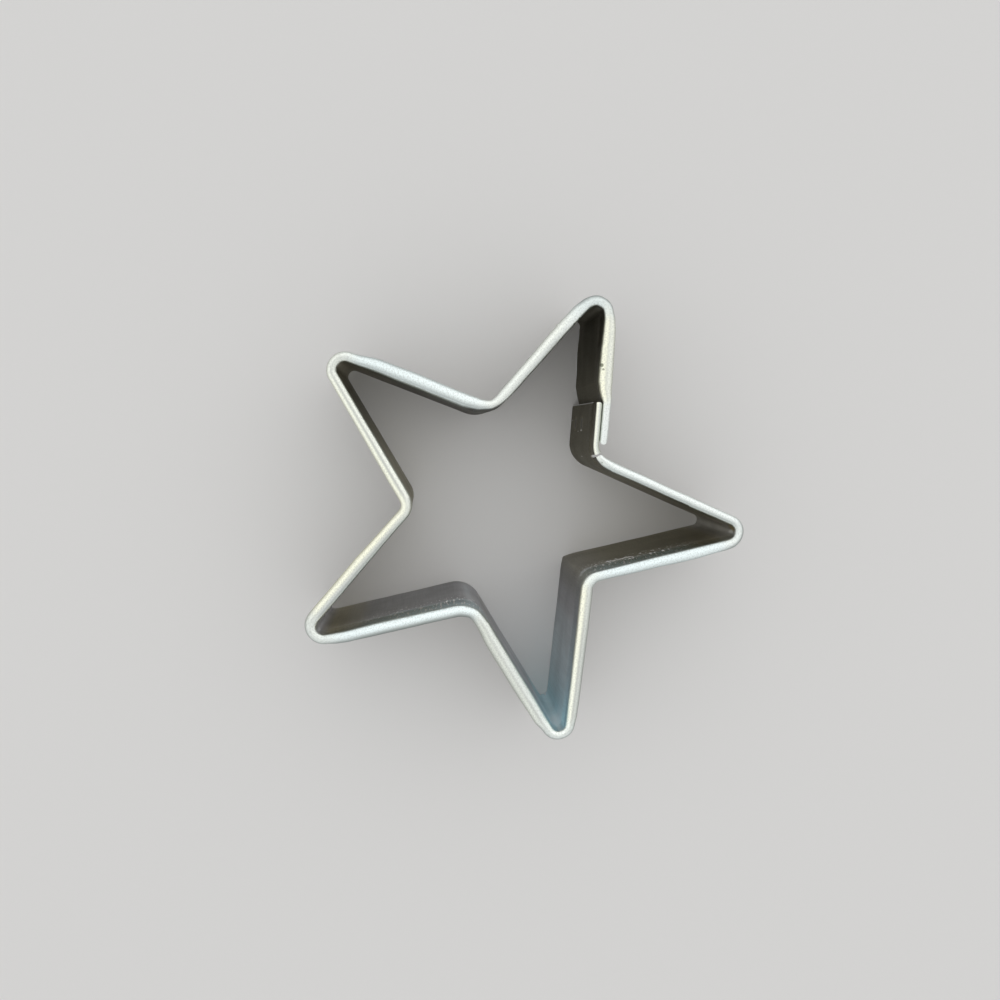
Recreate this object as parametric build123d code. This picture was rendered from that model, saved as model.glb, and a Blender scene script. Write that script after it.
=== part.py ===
from build123d import *
import math
import os

# Star cookie cutter, bent from one strip of tinned steel with a folded rim along its top edge.
# The strip starts as a tab on the inside of the seam, runs clockwise round the star, and laps over
# the tab's outside, where two spot welds hold it. Millimetres, +Z up. The cutting edge lies on z = 0,
# the point beside the seam is along +Y, and the origin is under the middle of the whole cutter.

# The strip
cutter_height = 22.0
sheet_thickness = 0.3

# The star, on the wall's inner face: the circles through its corners before they are rounded, and the bends
tip_circle_radius = 40.6
notch_circle_radius = 16.0
tip_radius = 1.2
notch_radius = 4.5

# The rim: the sheet turns outwards over the top and its free edge closes on the wall again
rim_width = 1.9
rim_depth = 2.6
rim_curl_radius = 0.6
rim_edge_gap = 0.1

# The seam, on the leg between the top point and the first notch
lap_length = 7.1
lap_stand_off = 3.3
lap_clearance = 0.1
joggle_length = 3.3
joggle_radius = 3.0
joggle_margin = 0.3
seam_drift = 0.35
tab_rim_width = 1.2
lap_rim_width = 1.2
slit_width = 0.4
slit_share = 0.5

# The spot welds: the outer sheet is pressed in to meet the tab
weld_radius = 1.0
weld_thickness = 0.1
dimple_radius = 1.9
weld_height_shares = [0.26, 0.57]

# Hand bending, for the corners clockwise from the notch beside the seam
notch_circle_shares = [0.989, 0.994, 0.993, 1.001, 1.023]
tip_circle_shares = [1.02, 1.008, 1.004, 0.991, 0.996]
notch_radius_shares = [1.0, 0.87, 1.07, 0.8, 1.22]
tip_radius_shares = [0.92, 0.82, 0.98, 1.0, 1.08]
notch_lean_degrees = [1.2, 0.1, -0.25, 0.6, -0.65]
tip_lean_degrees = [-0.25, -0.35, 0.0, 0.25, 0.25]

# What follows from these sizes
wall_top = cutter_height - rim_depth
tab_length = lap_stand_off + lap_length
lap_offset = tab_rim_width + lap_clearance
point_count = len(tip_circle_shares)
point_step = 360 / point_count


def polar(distance, degrees):
    """A point at a distance from the star's centre."""
    angle = math.radians(degrees)
    return Vector(distance * math.cos(angle), distance * math.sin(angle))


def star_corners():
    """The ten sharp corners with their bend radii, clockwise from the notch beside the seam."""
    corners = []
    radii = []
    for index in range(point_count):
        notch_angle = 90 - point_step * (index + 0.5) + notch_lean_degrees[index]
        tip_angle = 90 - point_step * (index + 1) + tip_lean_degrees[index]
        corners.append(polar(notch_circle_radius * notch_circle_shares[index], notch_angle))
        corners.append(polar(tip_circle_radius * tip_circle_shares[index], tip_angle))
        radii.append(notch_radius * notch_radius_shares[index])
        radii.append(tip_radius * tip_radius_shares[index])
    return corners, radii


def outward(direction):
    """The way out of the star for a stretch that runs clockwise."""
    return Vector(-direction.Y, direction.X)


def seam_leg():
    """The seam leg's notch corner, its direction towards the tip, and the way out of the star."""
    corners, radii = star_corners()
    notch = corners[0]
    along = (corners[-1] - notch).normalized()
    return notch, along, outward(along * -1)


def seam_point(distance, offset):
    """A point on the seam leg: a distance from its notch corner, and an offset out of the star."""
    notch, along, out = seam_leg()
    return notch + along * distance + out * offset


def strip_route():
    """The strip's inner face from the tab's end to the lapped end, with the radius of each bend."""
    corners, radii = star_corners()
    lap_start = tab_length + joggle_margin
    tab_end = seam_point(tab_length, 0)
    joggle = [seam_point(lap_start + joggle_length, seam_drift), seam_point(lap_start, lap_offset)]
    lap_end = seam_point(lap_stand_off, lap_offset)
    return [tab_end] + corners + joggle + [lap_end], radii + [joggle_radius, joggle_radius]


def shifted(points, radii, distance):
    """The same route moved out of the star by a distance, with its radii moved along."""
    headings = [(after - before).normalized() for before, after in zip(points, points[1:])]
    moved = [points[0] + outward(headings[0]) * distance]
    moved_radii = []
    for point, radius, before, after in zip(points[1:], radii, headings, headings[1:]):
        side = outward(before) + outward(after)
        moved.append(point + side * (distance / (1 + before.dot(after))))
        turns_out = before.cross(after).Z > 0
        moved_radii.append(radius - distance if turns_out else radius + distance)
    moved.append(points[-1] + outward(headings[-1]) * distance)
    return moved, moved_radii


def route_line(points, radii, distance):
    """The route as straight runs and arcs, a distance out of the star."""
    moved, moved_radii = shifted(points, radii, distance)
    return FilletPolyline(*moved, radius=moved_radii)


def seam_plane(distance):
    """A plane square to the seam leg's sheets, with its Z out of the star and its X up."""
    out = seam_leg()[2]
    return Plane(origin=seam_point(lap_stand_off + lap_length / 2, distance), x_dir=(0, 0, 1), z_dir=out)


def weld_places(distance):
    """Where the two spot welds stand on the lap, a distance out from the tab's inner face."""
    plane = seam_plane(distance)
    return [plane * Pos(share * wall_top, 0, 0) for share in weld_height_shares]


def star_wall():
    """The strip up to the fold, with the lapped end pressed in at the welds."""
    points, radii = strip_route()
    inner = route_line(points, radii, 0)
    outer = route_line(points, radii, sheet_thickness)
    outline = inner + Line(inner @ 1, outer @ 1) + outer + Line(outer @ 0, inner @ 0)
    wall = extrude(make_face(outline), amount=wall_top)
    floor = sheet_thickness + weld_thickness
    depth = lap_offset + sheet_thickness - floor
    on_floor = (Align.CENTER, Align.CENTER, Align.MIN)
    pressed = Cone(weld_radius + sheet_thickness, dimple_radius + sheet_thickness, depth, align=on_floor)
    hollow = Cone(weld_radius, dimple_radius, depth - sheet_thickness, align=on_floor)
    for place in weld_places(floor):
        wall += place * pressed
    for place in weld_places(floor + sheet_thickness):
        wall -= place * hollow
    return wall


def rim_section(width, origin, heading):
    """The fold's section on a plane square to the route, with its X out of the star and its Y up."""
    half = width / 2
    spring = cutter_height - half
    curl_foot = wall_top + rim_curl_radius
    curl_centre = width - rim_curl_radius
    edge = sheet_thickness + rim_edge_gap
    edge_top = wall_top + sheet_thickness
    inside = width - sheet_thickness
    fold = Line((0, wall_top), (0, spring))
    fold += CenterArc((half, spring), half, 180, -180)
    fold += Line((width, spring), (width, curl_foot))
    fold += CenterArc((curl_centre, curl_foot), rim_curl_radius, 0, -90)
    fold += Polyline((curl_centre, wall_top), (edge, wall_top), (edge, edge_top), (curl_centre, edge_top))
    fold += CenterArc((curl_centre, curl_foot), rim_curl_radius - sheet_thickness, -90, 90)
    fold += Line((inside, curl_foot), (inside, spring))
    fold += CenterArc((half, spring), half - sheet_thickness, 0, 180)
    fold += Polyline((sheet_thickness, spring), (sheet_thickness, wall_top), (0, wall_top))
    plane = Plane(origin=origin, x_dir=outward(heading), z_dir=heading)
    return plane * make_face(fold)


def rim_run(width, points, radii, start, end):
    """The fold swept along a stretch of a route, from and to a distance along it."""
    route = route_line(points, radii, 0)
    stretch = route.trim(start / route.length, end / route.length)
    return sweep(rim_section(width, stretch @ 0, stretch % 0), stretch)


def slit_distance():
    """How far along the route the slit in the rim lies, within the bend of the first notch."""
    points, radii = strip_route()
    before = (points[1] - points[0]).normalized()
    after = (points[2] - points[1]).normalized()
    turn = math.radians(before.get_angle(after))
    straight = tab_length - radii[0] * math.tan(turn / 2)
    return straight + slit_share * radii[0] * turn


def rolled_rim():
    """The long run of the rim, from the slit round to the lapped end, where it is squeezed narrower."""
    points, radii = strip_route()
    main_points = points[:-2]
    main_length = route_line(main_points, radii[:-2], 0).length
    rim = rim_run(rim_width, main_points, radii[:-2], slit_distance() + slit_width / 2, main_length)
    joggle_start, joggle_end, lap_end = points[-3:]
    main_heading = (joggle_start - main_points[-2]).normalized()
    lap_heading = (lap_end - joggle_end).normalized()
    wide = rim_section(rim_width, joggle_start, main_heading)
    narrow = rim_section(lap_rim_width, joggle_end, lap_heading)
    rim += loft([wide, narrow], ruled=True)
    rim += extrude(narrow, amount=(lap_end - joggle_end).length, dir=lap_heading)
    return rim


def tab_rim():
    """The short run of the rim on the tab, from the tab's end to the slit."""
    points, radii = strip_route()
    return rim_run(tab_rim_width, points, radii, 0, slit_distance() - slit_width / 2)


def spot_welds():
    """The two nuggets between the tab and the pressed-in lap."""
    on_tab = (Align.CENTER, Align.CENTER, Align.MIN)
    nugget = Cylinder(weld_radius, weld_thickness, align=on_tab)
    return Compound([place * nugget for place in weld_places(sheet_thickness)])


nodes = {
    "star_wall": star_wall(),
    "rolled_rim": rolled_rim(),
    "tab_rim": tab_rim(),
    "spot_welds": spot_welds(),
}
whole = Compound([shape for shape in nodes.values()]).bounding_box()
to_origin = Pos(-whole.center().X, -whole.center().Y, 0)
os.makedirs("parts", exist_ok=True)
for name, shape in nodes.items():
    placed = to_origin * shape
    export_step(placed, f"parts/{name}.step")
    size = placed.bounding_box().size
    print(f"{name}: {size.X:.2f} x {size.Y:.2f} x {size.Z:.2f} mm")
print(f"whole: {whole.size.X:.2f} x {whole.size.Y:.2f} x {whole.size.Z:.2f} mm")
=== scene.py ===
import math

import bmesh
import bpy
from mathutils import Matrix, Vector, noise


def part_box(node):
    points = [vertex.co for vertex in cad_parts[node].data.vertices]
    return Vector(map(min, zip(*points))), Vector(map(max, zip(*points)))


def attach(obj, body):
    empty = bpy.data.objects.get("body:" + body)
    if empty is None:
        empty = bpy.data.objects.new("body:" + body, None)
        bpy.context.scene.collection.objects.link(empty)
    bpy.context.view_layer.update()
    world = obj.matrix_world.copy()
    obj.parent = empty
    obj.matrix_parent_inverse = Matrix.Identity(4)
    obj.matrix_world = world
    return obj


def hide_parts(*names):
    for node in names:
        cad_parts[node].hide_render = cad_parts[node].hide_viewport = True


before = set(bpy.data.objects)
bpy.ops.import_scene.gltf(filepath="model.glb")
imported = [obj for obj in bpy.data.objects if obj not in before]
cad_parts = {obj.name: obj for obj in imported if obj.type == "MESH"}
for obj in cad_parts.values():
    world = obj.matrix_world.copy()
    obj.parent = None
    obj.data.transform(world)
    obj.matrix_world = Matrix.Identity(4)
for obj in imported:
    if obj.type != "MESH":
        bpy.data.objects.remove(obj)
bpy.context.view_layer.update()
mm = 0.001
print("frame loaded:", ", ".join(sorted(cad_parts)))

# The cutter is one strip of tinned sheet. It is modelled flat, in mm, with X along the strip,
# Y out of the star and Z up, and is then bent round the star as the real one is.
star = {
    "height": 22.0,
    "sheet": 0.3,
    "foldDepth": 2.6,
    "tipCircle": 40.6,
    "notchCircle": 16.0,
    "tipRadius": 1.2,
    "notchRadius": 4.5,
    "tipCircleShares": (1.02, 1.008, 1.004, 0.991, 0.996),
    "notchCircleShares": (0.989, 0.994, 0.993, 1.001, 1.023),
    "tipRadiusShares": (0.92, 0.82, 0.98, 1.0, 1.08),
    "notchRadiusShares": (1.0, 0.87, 1.07, 0.8, 1.22),
    "tipLeans": (-0.25, -0.35, 0.0, 0.25, 0.25),  # degrees
    "notchLeans": (1.2, 0.1, -0.25, 0.6, -0.65),
}
foldFoot = star["height"] - star["foldDepth"]

# The seam beside the top point, measured from the first notch along its leg
seam = {
    "lapEnd": 3.3,
    "tabEnd": 10.4,
    "lapStart": 10.7,
    "joggleStart": 14.0,
    "joggleRadius": 3.0,
    "joggleDrift": 0.35,
    "lapOffset": 1.3,
    "slit": 0.4,
    "slitBeforeBend": 0.5,  # from the slit to the middle of the notch, along the strip
}

# How finely the flat strip is divided
fineness = {
    "straight": 0.7,
    "seam": 0.28,
    "seamStretch": 12.0,  # of the lapped end
    "bend": math.radians(6),
    "closest": 0.02,
    "ringSamples": 4000,
    "marked": (28.4, 28.7, 29.0, 246.0, 246.3, 246.6),  # small steps in the rim, with their own cross lines
}


def polar(distance, degrees):
    angle = math.radians(degrees)
    return Vector((distance * math.cos(angle), distance * math.sin(angle)))


def leftOf(heading):  # out of the star, because the strip runs clockwise
    return Vector((-heading.y, heading.x))


def routeCorners():  # the inner face as sharp corners, and the radius of each bend
    points = len(star["tipLeans"])
    corners, radii = [], []
    for i in range(points):
        notchAngle = 90 - (i + 0.5) * 360 / points + star["notchLeans"][i]
        tipAngle = 90 - (i + 1) * 360 / points + star["tipLeans"][i]
        corners.append(polar(star["notchCircle"] * star["notchCircleShares"][i], notchAngle))
        corners.append(polar(star["tipCircle"] * star["tipCircleShares"][i], tipAngle))
        radii.append(star["notchRadius"] * star["notchRadiusShares"][i])
        radii.append(star["tipRadius"] * star["tipRadiusShares"][i])
    notch = corners[0]
    along = (corners[-1] - notch).normalized()
    out = leftOf(-along)
    tabEnd = notch + along * seam["tabEnd"]
    joggleStart = notch + along * seam["joggleStart"] + out * seam["joggleDrift"]
    lapStart = notch + along * seam["lapStart"] + out * seam["lapOffset"]
    lapEnd = notch + along * seam["lapEnd"] + out * seam["lapOffset"]
    return [tabEnd] + corners + [joggleStart, lapStart, lapEnd], radii + [seam["joggleRadius"]] * 2


def routeRuns(points, radii):  # straight runs and bends in turn, each with its place on the flat strip
    runs = []

    def addRun(begin, heading, length, curve):
        placed = runs[-1]["from"] + runs[-1]["length"] if runs else 0
        runs.append({"from": placed, "length": length, "begin": begin, "heading": heading, "curve": curve})

    begin = points[0]
    for last, here, following, radius in zip(points, points[1:], points[2:], radii):
        before = (here - last).normalized()
        after = (following - here).normalized()
        turn = math.atan2(before.cross(after), before.dot(after))
        reach = radius * math.tan(abs(turn) / 2)
        addRun(begin, before, (here - before * reach - begin).length, 0)
        addRun(here - before * reach, before, radius * abs(turn), math.copysign(1 / radius, turn))
        begin = here + after * reach
    addRun(begin, (points[-1] - begin).normalized(), (points[-1] - begin).length, 0)
    return runs


runs = routeRuns(*routeCorners())
stripLength = runs[-1]["from"] + runs[-1]["length"]
bends = [run["from"] + run["length"] / 2 for run in runs if run["curve"]]
tips = bends[1 : 2 * len(star["tipLeans"]) : 2]
slitPlace = bends[0] - seam["slitBeforeBend"]


def bentPlace(along, out):  # where a point of the flat strip lies once it is bent
    run = next((r for r in reversed(runs) if r["from"] <= along), runs[0])
    step = along - run["from"]
    heading = Matrix.Rotation(run["curve"] * step, 2) @ run["heading"]
    if run["curve"]:
        spot = run["begin"] + (leftOf(run["heading"]) - leftOf(heading)) / run["curve"]
    else:
        spot = run["begin"] + heading * step
    return spot + leftOf(heading) * out


def placeOnFrame():  # the CAD part is centred on its own box, so the star's centre isn't the origin
    low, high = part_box("star_wall")
    samples = fineness["ringSamples"]
    ring = [bentPlace(stripLength * i / samples, star["sheet"]) for i in range(samples + 1)]
    middle = [(min(p[k] for p in ring) + max(p[k] for p in ring)) / 2 for k in (0, 1)]
    return Vector(((low.x + high.x) / 2 / mm - middle[0], (low.y + high.y) / 2 / mm - middle[1]))


starCentre = placeOnFrame()
print(f"strip {stripLength:.2f} mm long, bends at", [round(b, 1) for b in bends])


def smoothStep(value):
    value = min(max(value, 0), 1)
    return value * value * (3 - 2 * value)


def keyed(keys, along):  # values that change along the strip, from rows of (place, value, ...)
    for here, there in zip(keys, keys[1:]):
        if along <= there[0]:
            share = smoothStep((along - here[0]) / (there[0] - here[0]))
            return [a + (b - a) * share for a, b in zip(here[1:], there[1:])]
    return list(keys[-1][1:])


def stationsBetween(start, end):  # the cross lines of the flat strip
    places = set()
    for run in runs:
        nearSeam = run is runs[0] or run["from"] + run["length"] > stripLength - fineness["seamStretch"]
        if run["curve"]:
            count = math.ceil(abs(run["curve"]) * run["length"] / fineness["bend"])
        else:
            count = math.ceil(run["length"] / fineness["seam" if nearSeam else "straight"])
        places.update(run["from"] + run["length"] * i / count for i in range(count + 1))
    places.update(fineness["marked"])
    near = fineness["closest"]
    inside = sorted(p for p in places if start + near < p < end - near)
    return [start] + [a for a, b in zip(inside, inside[1:] + [end]) if b - a > near] + [end]


def waver(along, length, seed):  # an even drift between -1 and 1 along the strip
    return noise.noise((along / length, seed, 0))


def newProfile(height, tables):  # a first point; every point will remember its place on the flat sheet
    bm = bmesh.new()
    flat = bm.verts.layers.float_vector.new("flat")
    for name in tables:
        bm.verts.layers.float_vector.new(name)
    return bm, flat, bm.verts.new((0, 0, height))


def writeTables(bm, flat, tables):  # each point takes its place's values from every table
    places = {v.co.x for v in bm.verts}
    for v in bm.verts:
        v[flat] = (v.co.x, v[flat].y, 0)
    for name, keys in tables.items():
        layer = bm.verts.layers.float_vector[name]
        values = {along: keyed(keys, along) for along in places}
        for v in bm.verts:
            v[layer] = values[v.co.x]


def pullPoint(bm, last, places):  # grows a profile point by point, each place as (out, up)
    for out, up in places:
        made = bmesh.ops.extrude_vert_indiv(bm, verts=[last])["verts"]
        bmesh.ops.translate(bm, verts=made, vec=(0, out - last.co.y, up - last.co.z))
        last = made[0]
    return last


def turnPoint(bm, last, centre, degrees, steps):  # rolls a profile round a centre, given as (out, up)
    made = bmesh.ops.spin(
        bm, geom=[last], cent=(0, *centre), axis=(1, 0, 0), angle=math.radians(degrees), steps=steps
    )
    return next(g for g in made["geom_last"] if isinstance(g, bmesh.types.BMVert))


def markClimb(bm, flat, foot):  # how far up the flat sheet each point of a profile lies
    climb = foot
    points = bm.verts[:]
    for last, point in zip(points[:1] + points, points):
        climb += (point.co - last.co).length
        point[flat] = (0, climb, 0)


def pullAlong(bm, stations):  # grows the profile along the strip, station by station
    edges = bm.edges[:]
    bmesh.ops.translate(bm, verts=bm.verts, vec=(stations[0], 0, 0))
    for here, there in zip(stations, stations[1:]):
        made = bmesh.ops.extrude_edge_only(bm, edges=edges)["geom"]
        verts = [g for g in made if isinstance(g, bmesh.types.BMVert)]
        fresh = set(verts)
        edges = [g for g in made if isinstance(g, bmesh.types.BMEdge) and fresh.issuperset(g.verts)]
        bmesh.ops.translate(bm, verts=verts, vec=(there - here, 0, 0))


def bendRound(bm):  # the shaped strip goes round the star
    places = {}
    for v in bm.verts:
        here = places.setdefault(round(v.co.x, 5), (bentPlace(v.co.x, 0), bentPlace(v.co.x, 1)))
        v.co.xy = here[0].lerp(here[1], v.co.y) + starCentre
    bm.normal_update()


def faceOutwards(bm):  # the skin that was modelled faces away from the sheet's other side
    bmesh.ops.recalc_face_normals(bm, faces=bm.faces)
    innermost = min(bm.faces, key=lambda face: face.calc_center_median().y)
    if innermost.normal.y > 0:
        bmesh.ops.reverse_faces(bm, faces=bm.faces)


# The sheet's second skin and its cut edges
secondSkin = {
    "tone": (0.42, 0.13, 0.0),  # what it has instead of the inner face's painted light and shade by place
    "mark": 0.2,  # tells it from the first skin in the flat places, so that marks stay on one side
}
cutEdges = {
    "sharpFrom": math.radians(55),
    "segments": 2,
    "meeting": 0.01,  # edges this near the foot of the fold stay sharp, because wall and rim meet there
    "smoothUnder": math.radians(50),
}


def thicken(bm, edgeRound):  # one skin becomes sheet, and its cut edges are rounded a little
    flat = bm.verts.layers.float_vector["flat"]
    sheet = bm.verts.layers.float_vector["sheet"]
    skin = set(bm.verts)
    bmesh.ops.solidify(bm, geom=bm.faces[:], thickness=star["sheet"])
    for v in bm.verts:
        if v not in skin:
            v[sheet] = secondSkin["tone"]
            v[flat].z = secondSkin["mark"]
    sharp = [
        e
        for e in bm.edges
        if e.calc_face_angle(0) > cutEdges["sharpFrom"]
        and max(abs(v.co.z - foldFoot) for v in e.verts) > cutEdges["meeting"]
    ]
    bmesh.ops.bevel(
        bm,
        geom=sharp,
        offset=edgeRound,
        offset_type="OFFSET",
        segments=cutEdges["segments"],
        profile=0.5,
        affect="EDGES",
        material=-1,
        clamp_overlap=True,
    )


def finishPiece(bm, name, node, material):
    bmesh.ops.scale(bm, vec=(mm, mm, mm), verts=bm.verts)
    mesh = bpy.data.meshes.new(name)
    bm.to_mesh(mesh)
    bm.free()
    mesh.shade_smooth()
    mesh.set_sharp_from_angle(angle=cutEdges["smoothUnder"])
    mesh.materials.append(material)
    piece = bpy.data.objects.new(name, mesh)
    bpy.context.scene.collection.objects.link(piece)
    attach(piece, "root")
    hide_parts(node)
    print(f"{name}: {len(mesh.polygons)} faces")


# How the hand-bent sheet strays from its true line. It stays true at the points and at the seam.
handBending = {
    "sway": 0.06,
    "swaySize": (13.0, 30.0),  # along and up
    "swaySeed": 1.7,
    "ripple": 0.03,
    "rippleSize": (4.0, 9.0),
    "rippleSeed": 8.3,
    "seamFade": 4.0,
    "lapStretch": 14.0,
    "tipStretch": 2.5,
    "tipFade": 6.0,
    "shoulder": 0.14,  # the rolling pulls the sheet out at its top
    "shoulderBelow": 0.2,
    "shoulderRise": 1.4,
    "crease": 0.05,
    "creaseBelow": 0.6,
    "creaseSize": 0.5,
    "sharpBend": 1,  # the notch that is bent sharper towards the cutting edge
    "sharpShare": 0.7,
    "sharpTo": 8.0,
    "sharpFade": 10.0,
    "lean": (  # how far the foot leans in, as (place, lean)
        (0.0, 0.3), (7.0, 0.3), (9.0, 0.2), (10.5, 0.05), (13.0, 0.0), (251.9, 0.0), (255.9, 0.3),
        (259.9, 0.42), (263.9, 0.32), (266.4, 0.35), (268.5, 0.4), (270.1, 0.32), (277.3, 0.3),
    ),
}

# The rim by place along the strip, as (place, how far it stands out, its width from the inner face out)
rimLine = (
    (0.0, 0.16, 1.02), (7.0, 0.18, 1.03), (8.7, 0.22, 1.08), (9.6, 0.22, 1.25), (10.5, 0.20, 1.38),
    (12.0, 0.13, 1.62), (14.0, -0.02, 1.67), (18.1, 0.03, 1.63), (28.3, 0.05, 1.63),
    (28.9, -0.05, 1.72), (36.2, 0.02, 1.60), (38.2, 0.14, 1.60), (40.2, 0.19, 1.84), (46.3, 0.17, 2.11),
    (54.3, 0.16, 2.01), (62.4, 0.26, 1.83), (66.4, 0.22, 2.07), (69.4, 0.22, 2.26), (78.5, 0.23, 2.12),
    (87.5, 0.23, 2.01), (90.5, 0.27, 1.86), (91.9, 0.25, 1.66), (93.2, 0.18, 1.54), (94.5, 0.00, 1.77),
    (96.8, 0.02, 2.25), (103.5, -0.10, 2.54), (112.6, -0.14, 2.54), (115.6, -0.18, 2.30),
    (118.6, 0.09, 2.07), (121.6, 0.34, 2.19), (136.6, 0.15, 2.28), (142.6, 0.30, 2.05),
    (144.6, 0.21, 1.96), (146.0, 0.14, 1.68), (147.0, 0.06, 1.70), (148.9, -0.20, 2.12),
    (160.6, -0.21, 2.12), (167.6, -0.17, 1.89), (172.6, -0.22, 1.87), (176.6, -0.08, 2.03),
    (199.6, -0.05, 1.80), (201.0, -0.05, 1.66), (202.6, -0.05, 1.72), (207.6, 0.04, 2.32),
    (212.6, -0.04, 2.47), (222.6, -0.13, 2.44), (224.8, 0.19, 2.15), (226.6, 0.28, 1.73),
    (228.6, 0.12, 1.44), (232.6, -0.25, 1.99), (246.0, -0.17, 2.14), (246.3, -0.17, 2.30),
    (246.6, -0.17, 2.15), (250.6, -0.20, 2.06), (252.6, -0.32, 1.80), (253.6, -0.14, 1.76),
    (254.6, 0.05, 1.72), (256.1, 0.18, 1.98), (257.6, 0.13, 2.23), (259.6, 0.03, 2.38),
    (261.6, -0.10, 2.52), (264.6, -0.22, 2.64), (266.9, -0.25, 2.64), (268.2, -0.34, 2.30),
    (269.2, -0.25, 1.95), (270.2, -0.10, 1.58), (271.2, -0.07, 1.50), (273.9, -0.07, 1.50),
    (277.3, -0.07, 1.42),
)


def driftShare(along):  # 0 at the seam and the points, 1 well away from them
    nearestTip = min(abs(along - tip) for tip in tips)
    lapBegin = stripLength - handBending["lapStretch"]
    afterSlit = smoothStep((along - slitPlace) / handBending["seamFade"])
    beforeLap = smoothStep((lapBegin - along) / handBending["seamFade"])
    offTip = smoothStep((nearestTip - handBending["tipStretch"]) / handBending["tipFade"])
    return afterSlit * beforeLap * offTip


def sharpenAt(along):  # what takes a round bend out towards its corner
    bend = [run for run in runs if run["curve"]][2 * handBending["sharpBend"]]
    fromMiddle = abs(along - bend["from"] - bend["length"] / 2)
    angle = max(bend["length"] / 2 - fromMiddle, 0) * abs(bend["curve"])
    return handBending["sharpShare"] * (1 / math.cos(angle) - 1) / abs(bend["curve"])


def driftOf(kind, along, height):  # one of the sheet's two drifts, "sway" or "ripple"
    length, rise = handBending[kind + "Size"]
    return handBending[kind] * noise.noise((along / length, height / rise, handBending[kind + "Seed"]))


placeBending = {}  # each place's lean, stand-out of the rim and sharpening, worked out once


def bendingAt(along):
    if along not in placeBending:
        lean, standOut = keyed(handBending["lean"], along)[0], keyed(rimLine, along)[0]
        placeBending[along] = lean, standOut, sharpenAt(along)
    return placeBending[along]


def strayAt(along, height):  # out of the star
    lean, standOut, sharpen = bendingAt(along)
    above = height - foldFoot
    stray = driftShare(along) * (driftOf("sway", along, height) + driftOf("ripple", along, height))
    stray -= lean * max(1 - height / foldFoot, 0)
    stray -= sharpen * (1 - smoothStep((height - handBending["sharpTo"]) / handBending["sharpFade"]))
    fromCrease = (above + handBending["creaseBelow"]) / handBending["creaseSize"]
    stray -= handBending["crease"] * math.exp(-(fromCrease**2))
    shoulder = smoothStep((above + handBending["shoulderBelow"]) / handBending["shoulderRise"])
    return stray + (handBending["shoulder"] + standOut) * shoulder


# The wall
wall = {
    "coarseRows": 1.0,
    "fineRows": 0.36,
    "fineTop": 2.0,  # how far below the fold the fine rows begin
    "weldMargin": 0.3,
    "edgeRound": 0.07,
    "edgeWave": 0.05,
    "edgeWaveLength": 7.0,
    "edgeWaveSeed": 3.1,
    "edgeReach": 3.0,  # how far up the cutting edge's shape is felt
    "cornerRound": 0.7,
    "weldHeights": (0.26 * foldFoot, 0.57 * foldFoot),
    "weldFromEnd": 3.55,
    "dimpleFloor": 1.2,
    "dimpleTop": 2.05,
    "dimpleDepth": 0.9,
    "markRadius": 0.95,
    "markFade": 0.3,
    "markDepth": 0.07,
}


def wallRows():
    rows = [0]
    weldReach = wall["dimpleTop"] + wall["weldMargin"]
    while rows[-1] < foldFoot - wall["coarseRows"] / 2:
        nearWeld = any(abs(rows[-1] - up) < weldReach for up in wall["weldHeights"])
        nearFold = rows[-1] > foldFoot - wall["fineTop"]
        rows.append(rows[-1] + wall["fineRows" if nearWeld or nearFold else "coarseRows"])
    return rows[1:-1] + [foldFoot]


def weldDistance(along, up, place):
    return min(math.hypot(along - place, up - height) for height in wall["weldHeights"])


def pressedBy(distance, inner, outer):  # 1 inside a round mark, 0 outside it
    return 1 - smoothStep((distance - inner) / (outer - inner))


def shapeWall(bm):
    tabWeld = wall["weldFromEnd"]
    lapWeld = stripLength - wall["weldFromEnd"]
    markFloor = wall["markRadius"] - wall["markFade"]
    for v in bm.verts:
        along, up = v.co.x, v.co.z
        onLap = pressedBy(weldDistance(along, up, lapWeld), wall["dimpleFloor"], wall["dimpleTop"])
        onTab = pressedBy(weldDistance(along, up, tabWeld), markFloor, wall["markRadius"])
        v.co.y += strayAt(along, up) - wall["dimpleDepth"] * onLap + wall["markDepth"] * onTab
        fromEnd = min(along, stripLength - along)
        rounding = min(max(1 - fromEnd / wall["cornerRound"], 0), 1)
        lift = wall["cornerRound"] * (1 - math.sqrt(1 - rounding**2))
        wave = wall["edgeWave"] * (1 + waver(along, wall["edgeWaveLength"], wall["edgeWaveSeed"])) / 2
        v.co.z += (lift + wave) * (1 - smoothStep(up / wall["edgeReach"]))
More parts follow.
